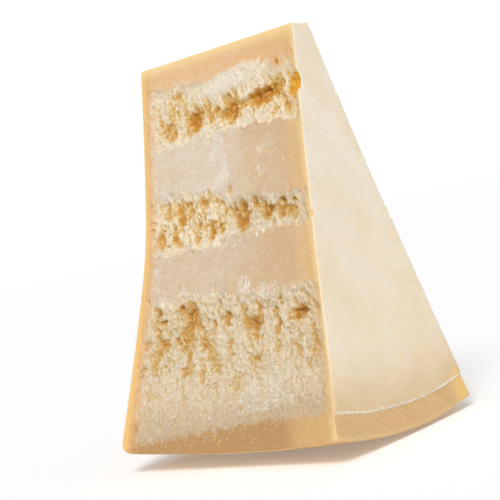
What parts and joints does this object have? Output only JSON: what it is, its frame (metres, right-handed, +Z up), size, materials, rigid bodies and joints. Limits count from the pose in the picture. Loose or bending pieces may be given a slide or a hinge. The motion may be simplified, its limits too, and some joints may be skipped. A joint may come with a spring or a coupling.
{
  "type": "hard aged cheese wedge",
  "caption": "Wedge of hard aged cheese split from a half wheel, with crumbly cracked faces and rind, standing on its rounded rind.",
  "frame": {"origin": "centre of the bounding box's underside, on the surface that the wedge stands on", "axes": "+Z up from the rind to the tip, +X out of the smooth cut face, -Y out of the front split face"},
  "size_m": [0.1386, 0.1007, 0.1951],
  "materials": {
    "cheese": "matt, granular paste with a warm amber rind"
  },
  "bodies": {
    "root": {"cheese_wedge": "cheese"}
  },
  "joints": []
}
